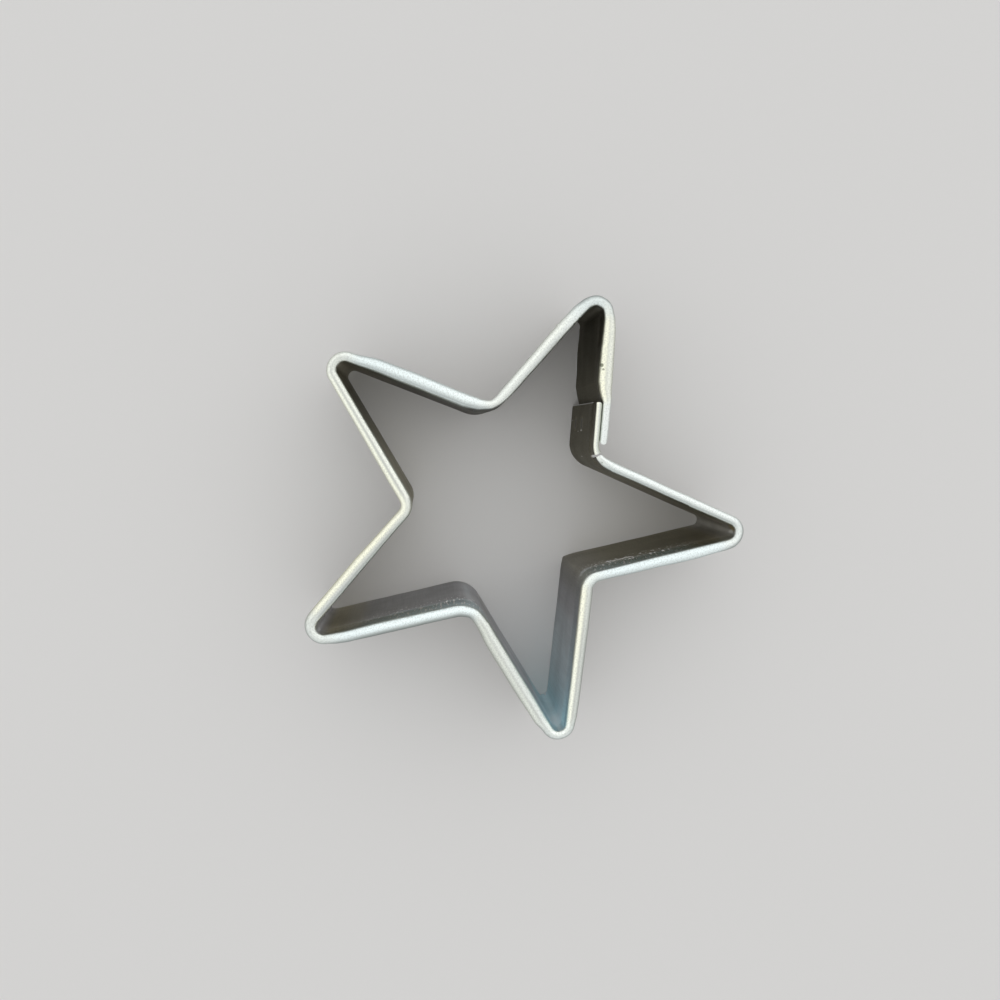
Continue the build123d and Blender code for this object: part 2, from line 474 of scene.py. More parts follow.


# The inner face's painted light and shade by place, as (place, brightness, bluish tint, bright scuffs under
# the rim): the brightness is painted shade and dark reflection, the bluish tint painted reflection
paintedWallShading = (
    (0.0, 0.2, 0.0, 0.0), (11.0, 0.2, 0.0, 0.0), (16.0, 0.27, 0.0, 0.0), (31.0, 0.31, 0.0, 0.0),
    (36.0, 0.52, 0.08, 0.0), (39.0, 0.57, 0.12, 0.0), (43.0, 0.41, 0.0, 0.0), (50.0, 0.34, 0.0, 1.0),
    (57.0, 0.33, 0.0, 1.0), (62.0, 0.34, 0.06, 1.0), (65.0, 0.34, 0.08, 0.3), (68.0, 0.3, 0.13, 0.0),
    (72.0, 0.42, 0.2, 0.0), (76.0, 0.54, 0.45, 0.0), (83.0, 0.66, 0.55, 0.0), (89.0, 0.7, 0.65, 0.0),
    (93.0, 0.74, 1.0, 0.0), (97.0, 0.78, 0.7, 0.0), (101.0, 0.72, 0.35, 0.0), (108.0, 0.72, 0.26, 0.0),
    (113.0, 0.63, 0.18, 0.1), (117.0, 0.53, 0.15, 0.5), (120.0, 0.55, 0.27, 1.0),
    (124.0, 0.44, 0.2, 1.0), (132.0, 0.51, 0.22, 1.0), (138.0, 0.55, 0.18, 0.6),
    (141.0, 0.62, 0.1, 0.2), (145.0, 0.74, 0.05, 0.0), (148.0, 0.7, 0.22, 0.0),
    (151.0, 0.45, 0.05, 0.0), (176.0, 0.38, 0.0, 0.0), (182.0, 0.43, 0.0, 0.0), (188.0, 0.35, 0.0, 0.0),
    (195.0, 0.24, 0.0, 0.0), (200.0, 0.37, 0.0, 0.0), (204.0, 0.39, 0.05, 0.0),
    (208.0, 0.25, 0.05, 0.0), (213.0, 0.15, 0.08, 0.0), (229.0, 0.13, 0.08, 0.0),
    (250.0, 0.2, 0.05, 0.0), (257.0, 0.21, 0.03, 0.0), (261.0, 0.17, 0.0, 0.0), (265.0, 0.2, 0.0, 0.0),
    (269.0, 0.18, 0.0, 0.0), (277.3, 0.26, 0.0, 0.0),
)


def buildWall(material):
    tables = {"sheet": paintedWallShading}
    bm, flat, foot = newProfile(0, tables)
    pullPoint(bm, foot, [(0, up) for up in wallRows()])
    markClimb(bm, flat, 0)
    pullAlong(bm, stationsBetween(0, stripLength))
    writeTables(bm, flat, tables)
    shapeWall(bm)
    faceOutwards(bm)
    bendRound(bm)
    thicken(bm, wall["edgeRound"])
    finishPiece(bm, "starWall", "star_wall", material)


# The rolled rim
rim = {
    "baseWidth": 1.9,
    "curlRadius": 0.6,
    "edgeGap": 0.1,
    "archSteps": 24,
    "curlSteps": 5,
    "innerRows": (0.2, 0.4, 0.6, 0.8, 1),  # shares of each flat stretch of the fold
    "outerRows": (0.35, 0.7, 1),
    "edgeRows": (0.4, 0.8, 1),
    "edgeRound": 0.06,
    "crestDrop": 0.06,
    "crestDropLength": 9.0,
    "crestDropSeed": 5.5,
    "crestFade": 1.2,
    "widthDrift": 0.05,
    "widthDriftLength": 3.5,
    "widthDriftSeed": 4.4,
    "endRound": 0.5,
    "innerEndRound": 0.1,
    "lapCorner": 0.85,
    "lapCornerReach": 2.0,
    "endReach": 1.6,  # how far from a cut end its shape is felt
    "endDrop": 0.12,
    "widest": 0.99,  # the share of the half width at which a cut end's rounding stops growing
}
archFoot = star["height"] - rim["baseWidth"] / 2
archClimb = math.pi * rim["baseWidth"] / 2
crestClimb = archFoot + archClimb / 2
freeEdge = star["sheet"] + rim["edgeGap"]


def rimProfile(tables):  # the fold's outside skin, from the foot over the crest to the free edge
    bm, flat, foot = newProfile(foldFoot, tables)
    curlCentre = (rim["baseWidth"] - rim["curlRadius"], foldFoot + rim["curlRadius"])
    innerRows = [foldFoot + (archFoot - foldFoot) * share for share in rim["innerRows"]]
    outerRows = [archFoot + (curlCentre[1] - archFoot) * share for share in rim["outerRows"]]
    edgeRows = [curlCentre[0] + (freeEdge - curlCentre[0]) * share for share in rim["edgeRows"]]
    last = pullPoint(bm, foot, [(0, up) for up in innerRows])
    last = turnPoint(bm, last, (rim["baseWidth"] / 2, archFoot), -180, rim["archSteps"])
    last = pullPoint(bm, last, [(rim["baseWidth"], up) for up in outerRows])
    last = turnPoint(bm, last, curlCentre, -90, rim["curlSteps"])
    pullPoint(bm, last, [(out, foldFoot) for out in edgeRows])
    markClimb(bm, flat, foldFoot)
    return bm, flat


def rimPlace(out, up, climb, width):  # a point of the base profile, moved to the profile of another width
    foot = star["height"] - width / 2
    nearEnough = 0.001
    if climb <= archFoot + nearEnough:
        return out, foldFoot + (up - foldFoot) * (foot - foldFoot) / (archFoot - foldFoot)
    if climb <= archFoot + archClimb + nearEnough:
        scale = width / rim["baseWidth"]
        return out * scale, star["height"] - (star["height"] - up) * scale
    out = freeEdge + (out - freeEdge) * (width - freeEdge) / (rim["baseWidth"] - freeEdge)
    curlTop = foldFoot + rim["curlRadius"]
    if up > curlTop:
        up = curlTop + (up - curlTop) * (foot - curlTop) / (archFoot - curlTop)
    return out, up


def widthAt(along):
    drift = rim["widthDrift"] * waver(along, rim["widthDriftLength"], rim["widthDriftSeed"])
    return keyed(rimLine, along)[1] + drift * driftShare(along)


def endCorner(across, onLapEnd):  # how far a cut end is rounded back
    if onLapEnd:
        return rim["lapCorner"]
    return rim["innerEndRound"] if across < 0 else rim["endRound"]


def shapeRim(bm, flat, start, end):
    widths = {along: widthAt(along) for along in {v.co.x for v in bm.verts}}
    archEnd = archFoot + archClimb
    widest = rim["widest"]
    for v in bm.verts:
        along, out, up, climb = v.co.x, v.co.y, v.co.z, v[flat].y
        width = widths[along]
        out, up = rimPlace(out, up, climb, width)
        intoArch = smoothStep((climb - archFoot) / rim["crestFade"])
        crest = intoArch * smoothStep((archEnd - climb) / rim["crestFade"])
        drop = (1 + waver(along, rim["crestDropLength"], rim["crestDropSeed"])) / 2
        up -= crest * rim["crestDrop"] * drop
        across = min(max(2 * out / width - 1, -widest), widest) if climb < archEnd else widest
        onLapEnd = end == stripLength and along > end - rim["lapCornerReach"]
        rounding = endCorner(across, onLapEnd) * (1 - math.sqrt(1 - across**2))
        nearStart = 1 - smoothStep((along - start) / rim["endReach"])
        nearEnd = 1 - smoothStep((end - along) / rim["endReach"])
        v.co.x += rounding * (nearStart - nearEnd)
        v.co.y = out + strayAt(along, up)
        v.co.z = up - crest * rim["endDrop"] * (nearStart**3 + nearEnd**3)


# Painted reflection tints along the rim, as (place, cream inner half, cream outer half, blue): warm and
# bluish surroundings mirrored in the tin, painted into its colour
paintedRimTints = (
    (0.0, 0.7, 0.0, 0.0), (8.5, 0.6, 0.0, 0.0), (11.0, 0.1, 0.0, 0.1), (14.0, 0.0, 0.0, 0.25),
    (36.0, 0.0, 0.0, 0.15), (38.5, 0.1, 0.0, 0.1), (42.0, 0.0, 0.0, 0.7), (60.0, 0.0, 0.0, 0.8),
    (65.0, 0.3, 0.1, 0.3), (69.0, 0.9, 0.3, 0.0), (90.0, 0.7, 0.3, 0.1), (93.2, 0.3, 0.1, 0.3),
    (98.0, 0.2, 0.5, 0.2), (116.0, 0.3, 0.5, 0.1), (121.0, 0.1, 0.1, 0.7), (142.0, 0.0, 0.0, 0.7),
    (147.5, 0.3, 0.2, 0.2), (151.0, 0.1, 0.9, 0.0), (166.0, 0.3, 1.0, 0.0), (174.0, 0.4, 0.8, 0.0),
    (198.0, 0.4, 0.6, 0.0), (201.0, 0.4, 0.4, 0.1), (205.0, 0.0, 0.0, 0.7), (224.0, 0.0, 0.0, 0.5),
    (229.0, 0.2, 0.2, 0.1), (246.0, 0.1, 0.3, 0.1), (253.0, 0.1, 0.1, 0.6), (257.0, 0.9, 0.5, 0.0),
    (269.0, 1.0, 0.5, 0.0), (271.0, 0.1, 0.0, 0.1), (277.3, 0.0, 0.0, 0.1),
)
# Its painted shade, as (place, shaded inner flank, shaded outer flank, grey crest): the flanks are darkened
# where less light falls, and the grey crest line is a painted dark reflection
paintedRimShade = (
    (0.0, 0.0, 0.0, 0.5), (8.5, 0.0, 0.0, 0.4), (11.0, 0.3, 0.0, 0.5), (14.0, 0.7, 0.0, 0.15),
    (36.0, 0.85, 0.0, 0.2), (38.5, 0.2, 0.8, 0.15), (42.0, 0.1, 0.25, 0.0), (60.0, 0.1, 0.4, 0.0),
    (65.0, 0.05, 0.4, 0.1), (69.0, 0.0, 0.55, 0.6), (78.0, 0.0, 0.65, 0.9), (90.0, 0.0, 0.6, 0.85),
    (93.2, 0.0, 0.55, 0.4), (98.0, 0.25, 0.3, 0.85), (104.0, 0.35, 0.45, 0.7), (116.0, 0.3, 0.5, 0.7),
    (121.0, 0.0, 0.95, 0.0), (138.0, 0.0, 0.95, 0.0), (143.0, 0.1, 0.8, 0.1), (147.5, 0.25, 0.5, 0.5),
    (151.0, 0.85, 0.0, 0.55), (166.0, 0.9, 0.0, 0.55), (174.0, 0.45, 0.0, 0.4), (178.0, 0.1, 0.0, 0.95),
    (198.0, 0.15, 0.0, 0.9), (201.0, 0.4, 0.15, 0.6), (205.0, 0.7, 0.2, 0.1), (224.0, 0.8, 0.0, 0.2),
    (229.0, 0.4, 0.1, 0.1), (234.0, 0.5, 0.0, 0.35), (243.0, 0.6, 0.0, 0.4), (249.0, 0.15, 0.1, 0.3),
    (253.0, 0.3, 0.7, 0.4), (257.0, 0.1, 0.2, 0.6), (269.0, 0.0, 0.2, 0.65), (271.0, 0.1, 0.1, 0.3),
    (277.3, 0.1, 0.1, 0.2),
)


def buildRim(name, node, start, end, material):
    tables = {"sheet": paintedWallShading, "tone": paintedRimTints, "rimShade": paintedRimShade}
    bm, flat = rimProfile(tables)
    pullAlong(bm, stationsBetween(start, end))
    writeTables(bm, flat, tables)
    shapeRim(bm, flat, start, end)
    faceOutwards(bm)
    bendRound(bm)
    thicken(bm, rim["edgeRound"])
    finishPiece(bm, name, node, material)


# The spot welds: the metal that joins the pressed-in lap to the tab
welds = {
    "radius": 0.95,
    "thickness": 0.1,
    "segments": 40,
    "uneven": 0.06,
    "unevenSize": 1.3,
}


def buildWelds(material):
    bm = bmesh.new()
    flat = bm.verts.layers.float_vector.new("flat")
    turn = Matrix.Rotation(math.radians(-90), 4, "X")  # a disc faces out of the star
    for height in wall["weldHeights"]:
        place = Matrix.Translation((wall["weldFromEnd"], star["sheet"] + welds["thickness"] / 2, height))
        made = bmesh.ops.create_cone(
            bm,
            cap_ends=True,
            segments=welds["segments"],
            radius1=welds["radius"],
            radius2=welds["radius"],
            depth=welds["thickness"],
            matrix=place @ turn,
        )
        for v in made["verts"]:
            spread = noise.noise((v.co.x * welds["unevenSize"], v.co.z * welds["unevenSize"], height))
            squeeze = 1 + welds["uneven"] * spread
            v.co.x = wall["weldFromEnd"] + (v.co.x - wall["weldFromEnd"]) * squeeze
            v.co.z = height + (v.co.z - height) * squeeze
    for v in bm.verts:
        v[flat] = (v.co.x, v.co.z, 0)
        v.co.y += strayAt(wall["weldFromEnd"], v.co.z)
    bendRound(bm)
    finishPiece(bm, "spotWelds", "spot_welds", material)


# Nodes are added by kind, with their inputs as values or as other nodes' sockets
def addNode(tree, kind, inputs=None, **settings):
    made = tree.nodes.new("ShaderNode" + kind)
    for key, value in settings.items():
        setattr(made, key, value)
    for key, value in (inputs or {}).items():
        if isinstance(value, bpy.types.NodeSocket):
            tree.links.new(value, made.inputs[key])
        else:
            made.inputs[key].default_value = value
    return made


def mathOf(tree, operation, a, b=0.0):
    return addNode(tree, "Math", {0: a, 1: b}, operation=operation).outputs[0]


def plus(tree, a, b):
    return mathOf(tree, "ADD", a, b)


def minus(tree, a, b):
    return mathOf(tree, "SUBTRACT", a, b)


def times(tree, value, *factors):
    for factor in factors:
        value = mathOf(tree, "MULTIPLY", value, factor)
    return value


def over(tree, a, b):
    return mathOf(tree, "DIVIDE", a, b)


def larger(tree, a, b):
    return mathOf(tree, "MAXIMUM", a, b)


def leftover(tree, share):
    return minus(tree, 1.0, share)


def between(tree, share, low, high):  # low where the share is 0, high where it is 1
    return plus(tree, low, times(tree, share, high - low))


def vectorMath(tree, operation, a, b=(0, 0, 0)):
    result = "Value" if operation in ("DISTANCE", "LENGTH") else "Vector"
    return addNode(tree, "VectorMath", {0: a, 1: b}, operation=operation).outputs[result]


def ramp(tree, value, low, high):  # 0 below low, rising smoothly to 1 at high
    inputs = {"Value": value, "From Min": low, "From Max": high}
    return addNode(tree, "MapRange", inputs, interpolation_type="SMOOTHSTEP").outputs["Result"]


def band(tree, value, middle, reach):  # 1 at the middle, 0 from a reach away
    away = mathOf(tree, "ABSOLUTE", minus(tree, value, middle))
    return leftover(tree, ramp(tree, away, 0.0, reach))


def blend(tree, share, a, b):  # 6 and 7 are the node's sockets for two colours
    return addNode(tree, "Mix", {0: share, 6: a, 7: b}, data_type="RGBA").outputs[2]


def noiseOf(tree, vector, scale, detail=2.0, roughness=0.5):
    inputs = {"Vector": vector, "Scale": scale, "Detail": detail, "Roughness": roughness}
    return addNode(tree, "TexNoise", inputs).outputs["Fac"]


def stretchedNoise(tree, vector, scales, detail, roughness):  # scales along, up and across the strip
    stretched = addNode(tree, "Mapping", {"Vector": vector, "Scale": scales}).outputs[0]
    return noiseOf(tree, stretched, 1.0, detail, roughness)


def splitVector(tree, vector):
    return addNode(tree, "SeparateXYZ", {0: vector}).outputs


def newGroup(name, inputs, masks, colours=()):  # inputs with their values, or None for a vector
    tree = bpy.data.node_groups.new(name, "ShaderNodeTree")
    for label, value in inputs.items():
        kind = "NodeSocketVector" if value is None else "NodeSocketFloat"
        socket = tree.interface.new_socket(label, in_out="INPUT", socket_type=kind)
        if value is not None:
            socket.default_value = value
    for labels, kind in ((masks, "NodeSocketFloat"), (colours, "NodeSocketColor")):
        for label in labels:
            tree.interface.new_socket(label, in_out="OUTPUT", socket_type=kind)
    return tree, tree.nodes.new("NodeGroupInput").outputs, tree.nodes.new("NodeGroupOutput").inputs


# The tin's grain on the flat sheet, as (name, noise scales, detail, roughness, none below, full above)
grainKinds = (
    ("Streaks", (2.4, 0.09, 1), 4.0, 0.6, 0.38, 0.68),
    ("Rolling", (0.12, 5.5, 1), 3.0, 0.6, 0.35, 0.7),
    ("Clouds", (0.11, 0.16, 1), 3.0, 0.5, 0.35, 0.7),
)
frost = {"detail": 2.0, "roughness": 0.6, "levels": (0.42, 0.66)}


def sheetGrainGroup():  # upright streaks, rolling lines, broad clouds and frost
    inputs = {"Flat": None, "Frost Size": 0.2}
    tree, given, wanted = newGroup("sheetGrain", inputs, ["Streaks", "Rolling", "Frost", "Clouds"])
    for name, scales, detail, roughness, low, high in grainKinds:
        grains = stretchedNoise(tree, given["Flat"], scales, detail, roughness)
        tree.links.new(ramp(tree, grains, low, high), wanted[name])
    scale = over(tree, 1.0, given["Frost Size"])
    flowers = noiseOf(tree, given["Flat"], scale, frost["detail"], frost["roughness"])
    tree.links.new(ramp(tree, flowers, *frost["levels"]), wanted["Frost"])
    return tree


# The rings that heat leaves round a weld, as (name, distance in weld radii, reach, share, colour)
heatRings = (
    ("Straw", 1.55, 0.45, 0.3, "straw"),
    ("Blue", 1.15, 0.3, 0.3, "tempered"),
    ("Burnt", 0.9, 0.35, 0.5, "burnt"),
)
# How uneven the outlines of rings, spots and scratches are
outlines = {
    "ringScale": 1.6,
    "ringShare": 0.5,
    "spotScale": 4.0,
    "spotShare": 0.9,
    "spotDepth": 100.0,  # across the sheet, so that a spot stays on one skin
    "scratchNoise": ((0.9, 0.0, 1), 3.0, 0.6),  # scales, detail, roughness
    "scratchFade": 0.6,
}


def heatTintGroup():
    inputs = {"Flat": None, "Centre": None, "Radius": 1.0}
    tree, given, wanted = newGroup("heatTint", inputs, [ring[0] for ring in heatRings])
    away = vectorMath(tree, "DISTANCE", given["Flat"], given["Centre"])
    wobble = times(tree, noiseOf(tree, given["Flat"], outlines["ringScale"]), outlines["ringShare"])
    radii = over(tree, plus(tree, away, wobble), given["Radius"])
    for name, middle, reach, *rest in heatRings:
        tree.links.new(band(tree, radii, middle, reach), wanted[name])
    return tree


def spotGroup():  # a round or tall mark with an uneven edge
    inputs = {"Flat": None, "Centre": None, "Radius": 0.2, "Tall": 1.0, "Softness": 0.3}
    tree, given, wanted = newGroup("spot", inputs, ["Mask"])
    apart = vectorMath(tree, "SUBTRACT", given["Flat"], given["Centre"])
    squeeze = {0: 1.0, 1: over(tree, 1.0, given["Tall"]), 2: outlines["spotDepth"]}
    evened = vectorMath(tree, "MULTIPLY", apart, addNode(tree, "CombineXYZ", squeeze).outputs[0])
    radii = over(tree, vectorMath(tree, "LENGTH", evened), given["Radius"])
    ragged = minus(tree, noiseOf(tree, given["Flat"], outlines["spotScale"]), 0.5)
    edge = plus(tree, radii, times(tree, ragged, outlines["spotShare"]))
    low, high = leftover(tree, given["Softness"]), plus(tree, 1.0, given["Softness"])
    tree.links.new(leftover(tree, ramp(tree, edge, low, high)), wanted["Mask"])
    return tree


def scratchGroup():  # a wavy line along the strip
    inputs = {"Flat": None, "From": 0.0, "To": 10.0, "Height": 10.0, "Wave": 0.4, "Width": 0.1}
    tree, given, wanted = newGroup("scratch", inputs, ["Mask"])
    place = splitVector(tree, given["Flat"])
    waves = stretchedNoise(tree, given["Flat"], *outlines["scratchNoise"])
    line = plus(tree, given["Height"], times(tree, minus(tree, waves, 0.5), given["Wave"]))
    near = band(tree, place["Y"], line, given["Width"])
    begun = ramp(tree, place["X"], given["From"], plus(tree, given["From"], outlines["scratchFade"]))
    ended = ramp(tree, place["X"], minus(tree, given["To"], outlines["scratchFade"]), given["To"])
    secondSide = ramp(tree, place["Z"], 0.0, secondSkin["mark"])
    mask = times(tree, near, begun, leftover(tree, ended), leftover(tree, secondSide))
    tree.links.new(mask, wanted["Mask"])
    return tree


sheetGrain = sheetGrainGroup()
heatTint = heatTintGroup()
spot = spotGroup()
scratch = scratchGroup()


def useGroup(tree, group, inputs):
    return addNode(tree, "Group", inputs, node_tree=group).outputs


def newMaterial(name):
    material = bpy.data.materials.new(name)
    material.use_nodes = True
    tree = material.node_tree
    shader = tree.nodes["Principled BSDF"]
    shader.inputs["Metallic"].default_value = 1.0
    return material, tree, shader


def attribute(tree, name):
    return addNode(tree, "Attribute", attribute_name=name).outputs["Vector"]


def readTable(tree, name):
    return splitVector(tree, attribute(tree, name))


def readPlace(tree):  # on the flat sheet, also along and up it
    flat = attribute(tree, "flat")
    place = splitVector(tree, flat)
    return flat, place["X"], place["Y"]


def setSurface(tree, shader, colour, rough, height, depth):
    bump = addNode(tree, "Bump", {"Height": height, "Strength": 1.0, "Distance": depth})
    tree.links.new(colour, shader.inputs["Base Color"])
    tree.links.new(rough, shader.inputs["Roughness"])
    tree.links.new(bump.outputs["Normal"], shader.inputs["Normal"])


# The sheet's inner and outer faces. Colours are linear, and pairs are where something begins and is full.
# The inner face looks darker than the rim mostly through painted shade, from its tone table by place.
dullTin = {
    "black": (0.0, 0.0, 0.0, 1),
    "warm": (1.0, 0.93, 0.70, 1),  # the three tints at full brightness; warm and blue are painted reflection of brown and bluish surroundings
    "plain": (1.0, 1.0, 1.03, 1),
    "blue": (0.96, 1.2, 1.27, 1),
    # painted highlight
    "paintedHighlight": (0.86, 0.92, 0.95, 1),
    "paintedGlow": (0.70, 0.88, 0.92, 1),  # the painted light strip right under the rim
    # rubbed bright tin, also used for painted glints on tiny scratches and scuffs
    "wornAndGlint": (0.88, 0.88, 0.87, 1),
    "straw": (0.55, 0.47, 0.33, 1),
    "tempered": (0.36, 0.42, 0.55, 1),
    "burnt": (0.22, 0.20, 0.20, 1),
    "roughness": (0.42, 0.5),
    "edgeGloss": (0.38, 0.38, 0.38, 1),  # how little it reflects at a glancing angle
    "metal": 0.92,
    "blueTintShare": 0.45,  # how much less metallic the painted bluish tint and the scuffs are
    "bareShare": 0.8,
    "brightest": 1.06,  # of its tone, where neither clouds nor streaks darken it
    "clouds": 0.14,
    "streaks": 0.1,
    "warmToPlain": (0.0, 0.2),  # by its painted bluish tint
    "plainToBlue": (0.2, 0.9),
    "frost": 0.12,
    "frostSize": 0.3,
    "nearRim": (foldFoot - 1.8, archFoot - 0.5),  # where the painted light strip is
    "glowShare": 0.35,
    "glowFrost": 0.5,
    "underRim": (foldFoot - 5.5, foldFoot - 1.5),  # where it has bright scuffs with painted glints
    "sparkNoise": ((2.6, 0.75, 1), 1.0, 0.5),
    "sparkLevels": (0.59, 0.64),
    "cutEdge": (0.1, 0.35),
    "cutEdgeShare": 0.6,
    "tabEdge": (0.08, 0.25),
    "bumpFrost": 0.3,
    "bumpDepth": 0.000001,
}

# Marks on the wall, as (place, climb, radius, how much taller than wide, softness, share, colour): the
# broad pale ones are painted highlights on the bends and near the rim, and the small tall ones are painted
# glints on tiny scratches
wallSpots = (
    (93.3, 16.5, 2.6, 1.0, 0.7, 0.6, "paintedHighlight"),
    (93.9, 0.6, 0.2, 4.0, 0.3, 0.9, "wornAndGlint"),
    (92.9, 0.8, 0.14, 4.0, 0.3, 0.9, "wornAndGlint"),
    (120.9, 11.0, 0.7, 12.0, 0.8, 0.3, "paintedHighlight"),
    (64.9, 18.6, 1.2, 0.8, 0.6, 0.4, "paintedHighlight"),
    (2.9, 1.5, 0.1, 5.0, 0.3, 0.7, "wornAndGlint"),
    (5.0, 8.2, 0.11, 5.0, 0.3, 0.7, "wornAndGlint"),
    (4.8, 11.2, 0.14, 6.0, 0.3, 1.0, "wornAndGlint"),
    (9.6, 10.4, 0.12, 5.0, 0.3, 0.7, "wornAndGlint"),
)
wallScratches = (  # from, to, height, wave, width, share
    (55.6, 61.0, 17.5, 2.2, 0.6, 1.0),
    (0.4, 7.4, 17.6, 0.3, 0.07, 0.35),
)


def tinnedSheetGroup():  # grey, with painted brightness and painted bluish reflection by place, and a painted light strip and bright scuffs with painted glints near the rim
    inputs = {"Flat": None, "Tone": None, "Clouds": 0.0, "Streaks": 0.0, "Frost": 0.0}
    tree, given, wanted = newGroup("tinnedSheet", inputs, ["Sparks"], ["Colour"])
    climb = splitVector(tree, given["Flat"])["Y"]
    tone = splitVector(tree, given["Tone"])
    blueTint = tone["Y"]
    clouds = times(tree, given["Clouds"], dullTin["clouds"])
    streaks = times(tree, given["Streaks"], dullTin["streaks"])
    # the painted shade by place, darkened further by clouds and streaks
    level = times(tree, tone["X"], minus(tree, dullTin["brightest"], plus(tree, clouds, streaks)))
    tint = blend(tree, ramp(tree, blueTint, *dullTin["warmToPlain"]), dullTin["warm"], dullTin["plain"])
    tint = blend(tree, ramp(tree, blueTint, *dullTin["plainToBlue"]), tint, dullTin["blue"])
    colour = blend(tree, level, dullTin["black"], tint)
    colour = blend(tree, times(tree, given["Frost"], dullTin["frost"]), colour, dullTin["wornAndGlint"])
    # a painted light strip along the top of the wall, right under the rim
    lit = times(tree, ramp(tree, climb, *dullTin["nearRim"]), larger(tree, blueTint, tone["Z"]))
    speckled = plus(tree, dullTin["glowShare"], times(tree, given["Frost"], dullTin["glowFrost"]))
    colour = blend(tree, times(tree, lit, speckled), colour, dullTin["paintedGlow"])
    # bright scuffs under the rim, with painted glints
    underRim = times(tree, ramp(tree, climb, *dullTin["underRim"]), tone["Z"])
    flecks = stretchedNoise(tree, given["Flat"], *dullTin["sparkNoise"])
    scuffsAndGlints = times(tree, underRim, ramp(tree, flecks, *dullTin["sparkLevels"]))
    tree.links.new(colour, wanted["Colour"])
    tree.links.new(scuffsAndGlints, wanted["Sparks"])
    return tree


tinnedSheet = tinnedSheetGroup()


def sheetFace(tree, flat, grain):
    inputs = {kind: grain[kind] for kind in ("Clouds", "Streaks", "Frost")}
    return useGroup(tree, tinnedSheet, inputs | {"Flat": flat, "Tone": attribute(tree, "sheet")})


def addSpots(tree, flat, colour, spots, finish):
    for place, climb, radius, tall, softness, share, name in spots:
        inputs = {"Flat": flat, "Centre": (place, climb, 0), "Radius": radius}
        mask = useGroup(tree, spot, inputs | {"Tall": tall, "Softness": softness})["Mask"]
        colour = blend(tree, times(tree, mask, share), colour, finish[name])
    return colour


def addHeatTint(tree, flat, colour):  # faint rings round the two welds, on the tab and on the lap
    for place in (wall["weldFromEnd"], stripLength - wall["weldFromEnd"]):
        for height in wall["weldHeights"]:
            inputs = {"Flat": flat, "Centre": (place, height, 0), "Radius": wall["markRadius"]}
            rings = useGroup(tree, heatTint, inputs)
            for name, middle, reach, share, tint in heatRings:
                colour = blend(tree, times(tree, rings[name], share), colour, dullTin[tint])
    return colour


def makeWallMaterial():
    material, tree, shader = newMaterial("dullTin")
    flat, along, climb = readPlace(tree)
    grain = useGroup(tree, sheetGrain, {"Flat": flat, "Frost Size": dullTin["frostSize"]})
    face = sheetFace(tree, flat, grain)
    colour = addHeatTint(tree, flat, face["Colour"])
    colour = addSpots(tree, flat, colour, wallSpots, dullTin)
    # real scratches, and scuffs under the rim with painted glints, made lighter and less metallic
    bareAndGlints = face["Sparks"]
    for start, end, height, wave, width, share in wallScratches:
        inputs = {"Flat": flat, "From": start, "To": end, "Height": height, "Wave": wave, "Width": width}
        bareAndGlints = larger(tree, bareAndGlints, times(tree, useGroup(tree, scratch, inputs)["Mask"], share))
    colour = blend(tree, bareAndGlints, colour, dullTin["wornAndGlint"])
    cutEdge = times(tree, leftover(tree, ramp(tree, climb, *dullTin["cutEdge"])), dullTin["cutEdgeShare"])
    tabEdge = leftover(tree, ramp(tree, along, *dullTin["tabEdge"]))
    colour = blend(tree, larger(tree, cutEdge, tabEdge), colour, dullTin["wornAndGlint"])
    # less metallic where the painted bluish reflection lies, and at scratches and scuffs
    blueTint = readTable(tree, "sheet")["Y"]
    metal = minus(tree, dullTin["metal"], times(tree, blueTint, dullTin["blueTintShare"]))
    metal = minus(tree, metal, times(tree, bareAndGlints, dullTin["bareShare"]))
    tree.links.new(metal, shader.inputs["Metallic"])
    shader.inputs["Specular Tint"].default_value = dullTin["edgeGloss"]
    rough = between(tree, grain["Clouds"], *dullTin["roughness"])
    relief = plus(tree, times(tree, grain["Frost"], dullTin["bumpFrost"]), grain["Rolling"])
    setSurface(tree, shader, colour, rough, relief, dullTin["bumpDepth"])
    return material


# The rim's skin. Pairs are again where something begins and is full.
brightTin = {
    "white": (0.87, 0.91, 0.88, 1),
    "grey": (0.42, 0.44, 0.42, 1),
    # painted shade on the flanks
    "flankShade": (0.27, 0.30, 0.29, 1),
    # painted warm reflection
    "cream": (0.98, 0.98, 0.79, 1),
    # painted bluish reflection
    "blue": (0.82, 0.93, 0.94, 1),
    "tabShade": (0.44, 0.47, 0.38, 1),  # the greenish grey painted shade on the tab rim's outer half, beside the lap's rim
    "pit": (0.16, 0.17, 0.12, 1),
    # painted glint on scuffs
    "scuffGlint": (0.95, 0.95, 0.94, 1),
    # painted reflection
    "goldGlint": (0.78, 0.66, 0.36, 1),
    "roughness": (0.34, 0.48),
    "edgeGloss": (0.6, 0.6, 0.6, 1),
    "frost": 0.4,
    "frostSize": 0.25,
    "shoulder": (archFoot + 0.1, archFoot + 0.5),  # from the wall's tin to the rim's
    "outerHalf": (crestClimb - 0.25, crestClimb + 0.25),
    "innerFlank": (crestClimb - 0.62, crestClimb + 0.08),
    "outerFlank": (crestClimb - 0.1, crestClimb + 0.65),
    "flankShare": 0.9,
    "edgeLight": (archFoot + 0.55, 0.45),  # two painted lines along the rim, as middle and reach: a highlight by the inner edge, kept clear of flank shade, and a grey crest line of dark reflection
    "crestLine": (crestClimb, 0.45),
    "edgeShare": 0.75,
    "crestShare": 0.8,
    "tabOuter": (crestClimb - 0.1, crestClimb + 0.5),
    "tabShare": 0.8,
    "tabTo": (slitPlace - 0.3, slitPlace + 0.3),  # along the strip
    "bumpRolling": 0.5,
    "bumpDepth": 0.000004,
}

